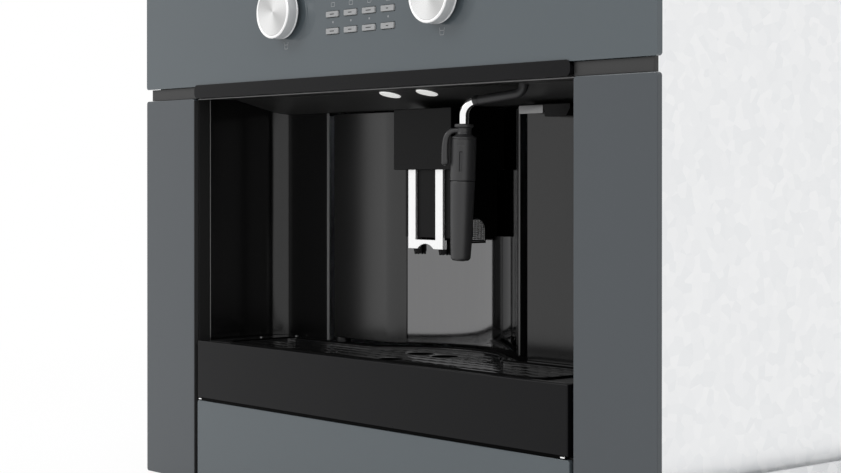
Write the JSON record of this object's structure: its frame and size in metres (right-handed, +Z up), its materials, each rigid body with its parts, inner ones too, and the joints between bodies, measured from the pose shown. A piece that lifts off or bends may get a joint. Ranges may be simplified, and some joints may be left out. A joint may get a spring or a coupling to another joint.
{
  "type": "built-in coffee machine",
  "caption": "Built-in coffee machine with a grey glass front, two knobs, a niche with a hinged service door and spout, a frother and a drip tray.",
  "frame": {"origin": "middle of the underside of the base plate, at half the overall width and half the overall depth", "axes": "+X to the right as the user sees the front, +Y to the rear, +Z up"},
  "size_m": [0.595, 0.4116, 0.455],
  "materials": {
    "grey_glass": "polished grey glass, backed",
    "black_plastic": "fine matt",
    "gloss_black": "high gloss",
    "dark_steel": "polished dark steel",
    "satin_steel": "spun satin",
    "bright_steel": "polished",
    "zinc_sheet": "galvanised sheet",
    "grey_plastic": "fine matt",
    "key_plastic": "satin",
    "clear_plastic": "clear",
    "lamp_glass": "frosted",
    "board_green": "lacquered circuit board",
    "cast_alloy": "as cast",
    "float_red": "fine matt"
  },
  "bodies": {
    "base": {"base_plate": "zinc_sheet", "runner_outer_left": "zinc_sheet", "runner_outer_right": "zinc_sheet"},
    "runner_middle": {"runner_middle_left": "zinc_sheet", "runner_middle_right": "zinc_sheet"},
    "machine": {"runner_inner_left": "zinc_sheet", "runner_inner_right": "zinc_sheet", "chassis": "zinc_sheet", "side_cover_left": "zinc_sheet", "side_cover_right": "zinc_sheet", "top_cover": "zinc_sheet", "front_frame": "black_plastic", "control_glass": "grey_glass", "side_glass_left": "grey_glass", "side_glass_right": "grey_glass", "lower_glass": "grey_glass", "trim_bar": "gloss_black", "niche_wall_left": "gloss_black", "niche_wall_right": "gloss_black", "niche_ceiling": "gloss_black", "niche_floor": "black_plastic", "wand_rest": "black_plastic", "lamp_lens_left": "lamp_glass", "lamp_lens_right": "lamp_glass", "control_board": "board_green", "bean_hopper": "clear_plastic", "grinder": "cast_alloy", "brew_unit": "black_plastic", "grounds_container": "black_plastic", "tank_seat": "black_plastic", "boiler": "cast_alloy", "water_pump": "cast_alloy", "mains_inlet": "black_plastic"},
    "door": {"service_door": "gloss_black", "recess_insert": "dark_steel", "spout_housing": "black_plastic"},
    "spout": {"spout_slider": "black_plastic", "spout_trim": "bright_steel", "nozzle_left": "black_plastic", "nozzle_right": "black_plastic"},
    "wand": {"steam_pipe": "bright_steel", "frother_body": "grey_plastic"},
    "sleeve": {"frother_sleeve": "grey_plastic"},
    "tray": {"drip_tray": "black_plastic", "tray_front": "gloss_black"},
    "grid": {"drip_grid": "gloss_black"},
    "float": {"tray_float": "float_red"},
    "knob_left": {"knob_left": "satin_steel"},
    "knob_right": {"knob_right": "satin_steel"},
    "lid": {"hopper_lid": "black_plastic"},
    "tank": {"water_tank": "clear_plastic"},
    "rocker": {"switch_rocker": "black_plastic"},
    "key_1": {"key_1": "key_plastic"},
    "key_2": {"key_2": "key_plastic"},
    "key_3": {"key_3": "key_plastic"},
    "key_4": {"key_4": "key_plastic"},
    "key_5": {"key_5": "key_plastic"},
    "key_6": {"key_6": "key_plastic"},
    "key_7": {"key_7": "key_plastic"},
    "key_8": {"key_8": "key_plastic"}
  },
  "joints": [
    {"name": "machine_slide", "type": "slide", "parent": "base", "child": "machine", "axis": [0, -1, 0], "range_m": [0, 0.25]},
    {"name": "runner_slide", "type": "slide", "parent": "base", "child": "runner_middle", "axis": [0, -1, 0], "range_m": [0, 0.125]},
    {"name": "door_hinge", "type": "hinge", "parent": "machine", "child": "door", "pos_m": [-0.1445, -0.09355, 0.217], "axis": [0, 0, -1], "range_deg": [0, 100]},
    {"name": "spout_height", "type": "slide", "parent": "door", "child": "spout", "axis": [0, 0, 1], "range_m": [0, 0.036]},
    {"name": "wand_swivel", "type": "hinge", "parent": "machine", "child": "wand", "pos_m": [0.13, -0.14655, 0.325], "axis": [0, 0, 1], "range_deg": [-25, 95]},
    {"name": "sleeve_slide", "type": "slide", "parent": "wand", "child": "sleeve", "axis": [-0.0171, -0.0198, -0.9997], "range_m": [0, 0.006]},
    {"name": "tray_slide", "type": "slide", "parent": "machine", "child": "tray", "axis": [0, -1, 0], "range_m": [0, 0.11]},
    {"name": "grid_lift", "type": "slide", "parent": "tray", "child": "grid", "axis": [0, 0, -1], "range_m": [-0.05, 0]},
    {"name": "float_rise", "type": "slide", "parent": "tray", "child": "float", "axis": [0, 0, 1], "range_m": [0, 0.008]},
    {"name": "knob_left_turn", "type": "hinge", "parent": "machine", "child": "knob_left", "pos_m": [-0.093, -0.19505, 0.3875], "axis": [0, 1, 0], "continuous": true},
    {"name": "knob_right_turn", "type": "hinge", "parent": "machine", "child": "knob_right", "pos_m": [0.093, -0.19505, 0.3875], "axis": [0, 1, 0], "continuous": true},
    {"name": "key_1_press", "type": "slide", "parent": "machine", "child": "key_1", "axis": [0, 1, 0], "range_m": [0, 0.0012], "stiffness_N_per_m": 800},
    {"name": "key_2_press", "type": "slide", "parent": "machine", "child": "key_2", "axis": [0, 1, 0], "range_m": [0, 0.0012], "stiffness_N_per_m": 800},
    {"name": "key_3_press", "type": "slide", "parent": "machine", "child": "key_3", "axis": [0, 1, 0], "range_m": [0, 0.0012], "stiffness_N_per_m": 800},
    {"name": "key_4_press", "type": "slide", "parent": "machine", "child": "key_4", "axis": [0, 1, 0], "range_m": [0, 0.0012], "stiffness_N_per_m": 800},
    {"name": "key_5_press", "type": "slide", "parent": "machine", "child": "key_5", "axis": [0, 1, 0], "range_m": [0, 0.0012], "stiffness_N_per_m": 800},
    {"name": "key_6_press", "type": "slide", "parent": "machine", "child": "key_6", "axis": [0, 1, 0], "range_m": [0, 0.0012], "stiffness_N_per_m": 800},
    {"name": "key_7_press", "type": "slide", "parent": "machine", "child": "key_7", "axis": [0, 1, 0], "range_m": [0, 0.0012], "stiffness_N_per_m": 800},
    {"name": "key_8_press", "type": "slide", "parent": "machine", "child": "key_8", "axis": [0, 1, 0], "range_m": [0, 0.0012], "stiffness_N_per_m": 800},
    {"name": "lid_hinge", "type": "hinge", "parent": "machine", "child": "lid", "pos_m": [-0.12, 0.10245, 0.4456], "axis": [-1, 0, 0], "range_deg": [0, 95]},
    {"name": "tank_lift", "type": "slide", "parent": "machine", "child": "tank", "axis": [0, 0, 1], "range_m": [0, 0.08]},
    {"name": "rocker_tilt", "type": "hinge", "parent": "machine", "child": "rocker", "pos_m": [-0.175, 0.19915, 0.077], "axis": [1, 0, 0], "range_deg": [0, 16]}
  ],
  "couplings": [
    {"joint": "runner_slide", "follows": "machine_slide", "ratio": 0.5}
  ]
}
